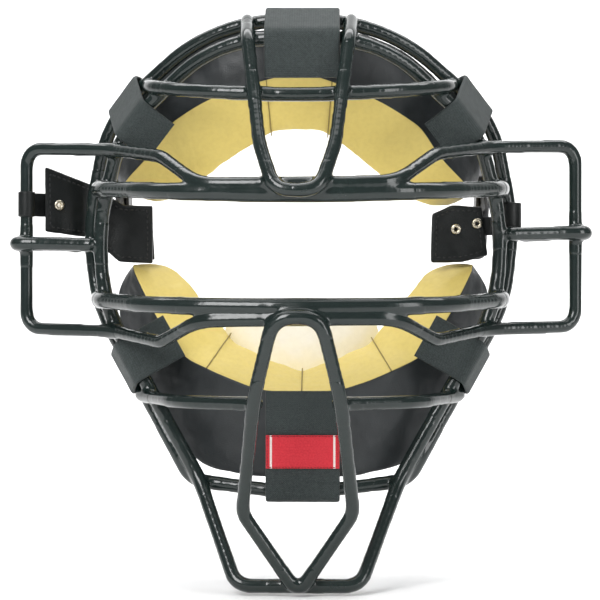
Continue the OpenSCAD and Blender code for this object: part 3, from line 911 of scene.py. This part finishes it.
TAB_T = 2.6
TAB_Y = 28.5
LEFT_SLOPE = (Vector((-125.5, 17, 0)), Vector((-103, TAB_Y, 0)))
LEFT_ANGLE = math.atan2(LEFT_SLOPE[1].y - LEFT_SLOPE[0].y, LEFT_SLOPE[1].x - LEFT_SLOPE[0].x)


def leather_tab(node, name, body):
    tab = softened(node, name, 0.7, 5, 0.12, LEATHER, None)
    shift(tab, lambda p, n: n * 0.25 * noise.noise(p * 0.12))
    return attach(tab, body)


leather_tab("left_tab", "left_tab_leather", "left_tab")
leather_tab("right_tab", "right_tab_leather", "right_tab")
softened("left_tab_loop", "left_tab_loop_strap", 0.5, 4, 0.08, LEATHER, "left_tab")
softened("right_tab_loop", "right_tab_loop_strap", 0.5, 4, 0.08, LEATHER, "right_tab")

EYELET_PROFILE = [
    (1.0, -3.2), (1.0, 1.9), (1.25, 2.2), (1.75, 2.35), (2.3, 2.15),
    (2.6, 1.7), (2.5, 1.35), (1.6, 1.3), (1.6, -3.2)]


def facing(at, angle):
    """Local z towards the front of the mask, turned by an angle about the upright axis."""
    turn = Matrix.Rotation(math.radians(angle), 4, "Z") @ Matrix.Rotation(math.radians(90), 4, "X")
    return Matrix.Translation(Vector(at)) @ turn


def eyelet(node, name, at, angle, body):
    made = lathe(name, EYELET_PROFILE, facing(at, angle), METAL, body)
    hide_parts(node)


def tab_depth(x):
    """Depth of the middle of either tab at x."""
    return TAB_Y - max(0.0, LEFT_SLOPE[1].x - x) * math.tan(LEFT_ANGLE)


def inset(outline, distance):
    """A convex-cornered outline moved inwards, its corners anticlockwise."""
    count = len(outline)
    moved = []
    for i in range(count):
        before, here, after = (Vector(outline[(i + k) % count]) for k in (-1, 0, 1))
        a, b = (here - before).normalized(), (after - here).normalized()
        turn = Vector((-a.y - b.y, a.x + b.x)).normalized()
        moved.append(here + turn * distance / max(0.5, turn.dot(Vector((-a.y, a.x)))))
    return moved


def tab_stitching(name, outline, body):
    """Two rows of stitches round a tab, one on its front and one on its back."""
    corners = inset(outline, 2.4)
    for word, side in (("front", -1), ("back", 1)):
        path = []
        for p in corners + corners[:1]:
            path.append(Vector((p.x, 0, p.y)))
        path = arc_path([(p, 0) for p in path], 1.5)
        for p in path:
            slant = 1 / math.cos(LEFT_ANGLE) if p.x < LEFT_SLOPE[1].x else 1.0
            p.y = tab_depth(p.x) + side * (TAB_T / 2 + 0.15) * slant
        stitches(f"{name}_{word}", path, Vector((0, side, 0)), DARK_THREAD, body,
                 2.7, 1.9, 0.34)


LEFT_OUTLINE = [
    (-124.7, 9.5), (-104, 6.8), (-90, -5), (-73.3, -6),
    (-73.3, 22.5), (-88, 23), (-104, 33), (-125.2, 41.3)]
RIGHT_OUTLINE = [(64, -5.6), (79, -5.2), (92, -2), (89, 22), (74, 22.6), (64.6, 18.5)]
tab_stitching("left_tab_stitches", LEFT_OUTLINE, "left_tab")
tab_stitching("right_tab_stitches", RIGHT_OUTLINE, "right_tab")

left_eyelet_y = tab_depth(-119)
left_angle = math.degrees(LEFT_ANGLE)
eyelet("left_tab_eyelet", "left_tab_eyelet_ring", (-119, left_eyelet_y, 22.5), left_angle, "left_tab")
eyelet("right_tab_eyelets", "right_tab_eyelet_ring_1", (76.3, TAB_Y, 10.9), 0, "right_tab")
eyelet("right_tab_eyelets", "right_tab_eyelet_ring_2", (86.7, TAB_Y, 13.7), 0, "right_tab")


# ------------------------------------------------------------------ harness

HARNESS_RISE = math.radians(34)
HARNESS_AT = Vector((0, TAB_Y + 11, 8))
HARNESS_DIR = Vector((0, math.cos(HARNESS_RISE), math.sin(HARNESS_RISE)))
HARNESS_UP = Vector((1, 0, 0)).cross(HARNESS_DIR)
HARNESS_LEN = 163.0
HARNESS_X = 92.0
PLATE_W = 54.0
PLATE_H = 48.0


def in_harness(x, s, up=0.0):
    return HARNESS_AT + Vector((x, 0, 0)) + HARNESS_DIR * s + HARNESS_UP * up


for side, word in ((-1, "left"), (1, "right")):
    path = arc_path([
        (in_harness(side * 74, 0), 0), (in_harness(side * HARNESS_X, 0), 5),
        (in_harness(side * HARNESS_X, 78), 55),
        (in_harness(side * (PLATE_W / 2 + 1), HARNESS_LEN - 2.6), 25),
        (in_harness(side * (PLATE_W / 2 - 14), HARNESS_LEN - 1.2), 0)])
    band = ribbon(f"elastic_{word}_band", path, HARNESS_UP, 28, 1.8, ELASTIC, "harness")
    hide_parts(f"elastic_{word}")

CROWN_START = Vector((0, -9, 110.2))
PLATE_CREST = in_harness(0, HARNESS_LEN + 3 + 1.6, PLATE_H / 2 + 3)
crown_path = arc_path([(CROWN_START, 0), (PLATE_CREST, 6), (PLATE_CREST - HARNESS_UP * 20, 0)])
crown = ribbon("crown_strap_band", crown_path, Vector((1, 0, 0)), 25, 1.8, ELASTIC, "harness")
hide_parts("crown_strap")

softened("back_plate", "back_plate_leather", 0.9, 5, 0.15, LEATHER, "harness")
felt_pad = softened("back_felt", "back_felt_pad", 1.0, 6, 0.3, FELT, None)
shift(felt_pad, lambda p, n: n * 0.35 * noise.noise(p * 0.5))
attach(felt_pad, "harness")

rivet_turn = Matrix.Rotation(HARNESS_RISE, 4, "X") @ Matrix.Rotation(math.radians(-90), 4, "X")
RIVET_PROFILE = [
    (0.02, 2.2), (1.6, 2.1), (2.8, 1.7), (3.4, 1.0), (3.4, 0.4), (2.0, 0.3), (2.0, -2.8), (0.02, -2.8)]
for number, x in ((1, -20), (2, 20)):
    spot = Matrix.Translation(in_harness(x, HARNESS_LEN + 3)) @ rivet_turn
    rivet = lathe(f"plate_rivet_{number}", RIVET_PROFILE, spot, METAL, "harness")
    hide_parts("plate_rivets")

for slider in ("left_slider", "right_slider", "crown_slider"):
    softened(slider, slider + "_frame", 0.45, 3, 0.06, PLASTIC, slider)

softened("crown_anchor", "crown_anchor_leather", 0.7, 4, 0.1, LEATHER, "cage")

SNAP_PROFILE = [
    (0.02, 2.1), (2.2, 2.1), (2.6, 1.7), (3.6, 1.9), (5.0, 1.5), (5.5, 0.7), (5.2, 0.1), (0.02, 0.0)]
STUD_PROFILE = [(0.02, 5.2), (3.0, 5.15), (4.0, 4.8), (4.0, 4.3), (2.0, 4.1), (2.0, 0.0), (0.02, 0.0)]


def upright(node, name, profile, body):
    """A turned fastener standing on the middle of its node's foot."""
    low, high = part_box(node)
    foot = Vector(((low.x + high.x) / 2, (low.y + high.y) / 2, low.z)) / MM
    made = lathe(name, profile, Matrix.Translation(foot), METAL, body)
    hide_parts(node)


upright("snap_cap", "snap_cap_dome", SNAP_PROFILE, "harness")
upright("anchor_stud", "anchor_stud_post", STUD_PROFILE, "cage")


# ------------------------------------------------------------------ floor, light and camera

FLOOR_FRONT = -1.6
FLOOR_BACK = 0.8
FLOOR_HALF_W = 3.0
FLOOR_GAP = 0.001
SWEEP_R = 0.9
SWEEP_STEPS = 12
BACKDROP_TOP = 3.2


def studio():
    """A pale floor that sweeps up behind the object."""
    floor_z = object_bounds()[0][2] - FLOOR_GAP
    verts, faces = [], []
    profile = [(FLOOR_FRONT, 0.0), (FLOOR_BACK, 0.0)]
    for k in range(1, SWEEP_STEPS + 1):
        a = math.radians(90 * k / SWEEP_STEPS)
        profile.append((FLOOR_BACK + SWEEP_R * math.sin(a), SWEEP_R * (1 - math.cos(a))))
    profile.append((FLOOR_BACK + SWEEP_R, BACKDROP_TOP))
    for x in (-FLOOR_HALF_W, FLOOR_HALF_W):
        for y, z in profile:
            verts.append((x, y, floor_z + z))
    count = len(profile)
    for i in range(count - 1):
        faces.append((i, i + 1, count + i + 1, count + i))
    mesh = bpy.data.meshes.new("studio_floor")
    mesh.from_pydata(verts, [], faces)
    mesh.polygons.foreach_set("use_smooth", [True] * len(mesh.polygons))
    floor = bpy.data.objects.new("studio_floor", mesh)
    scene.collection.objects.link(floor)
    p = Paint("paper", 0.9, (0.93, 0.93, 0.93))
    p.color(p.mix(p.noise(300, 2), (0.95, 0.95, 0.95), (0.92, 0.92, 0.92)))
    dress(floor, p.mat)
    floor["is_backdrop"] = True


def softbox(name, place, aim, size, power):
    light = bpy.data.lights.new(name, "AREA")
    light.shape = "RECTANGLE"
    light.size, light.size_y = size
    light.energy = power
    obj = bpy.data.objects.new(name, light)
    scene.collection.objects.link(obj)
    obj.location = place
    obj.rotation_euler = (Vector(aim) - Vector(place)).to_track_quat("-Z", "Y").to_euler()


studio()
AIM = (0, 0, -0.02)
softbox("key", (-0.55, -1.15, 0.75), AIM, (0.55, 0.9), 18)
softbox("fill", (0.95, -0.9, 0.15), AIM, (0.35, 1.1), 7)
softbox("top", (0, -0.1, 1.25), AIM, (1.2, 0.8), 7)
softbox("backdrop", (0, 0.6, 1.5), (0, 1.6, 0.2), (2.4, 1.0), 42)

# The camera sees a full white background, and the object is lit by this share of it.
WORLD_FILL = 0.24
world = bpy.data.worlds.new("studio")
world.use_nodes = True
background = world.node_tree.nodes["Background"]
background.inputs["Color"].default_value = (0.98, 0.99, 1.0, 1)
seen = world.node_tree.nodes.new("ShaderNodeLightPath").outputs["Is Camera Ray"]
strength = world.node_tree.nodes.new("ShaderNodeMapRange")
strength.inputs["To Min"].default_value = WORLD_FILL
world.node_tree.links.new(seen, strength.inputs["Value"])
world.node_tree.links.new(strength.outputs["Result"], background.inputs["Strength"])
scene.world = world
scene.view_settings.view_transform = "Standard"

CAMERA_DISTANCE = 1.0
CAMERA_TURN = math.radians(1.0)
CENTRE_Z = -0.024
data = bpy.data.cameras.new("camera")
data.sensor_width = 36
data.lens = 125
camera = bpy.data.objects.new("camera", data)
scene.collection.objects.link(camera)
camera.location = (
    CAMERA_DISTANCE * math.sin(CAMERA_TURN), -CAMERA_DISTANCE * math.cos(CAMERA_TURN), CENTRE_Z)
aim = Vector((0, 0, CENTRE_Z)) - camera.location
camera.rotation_euler = aim.to_track_quat("-Z", "Y").to_euler()
scene.camera = camera
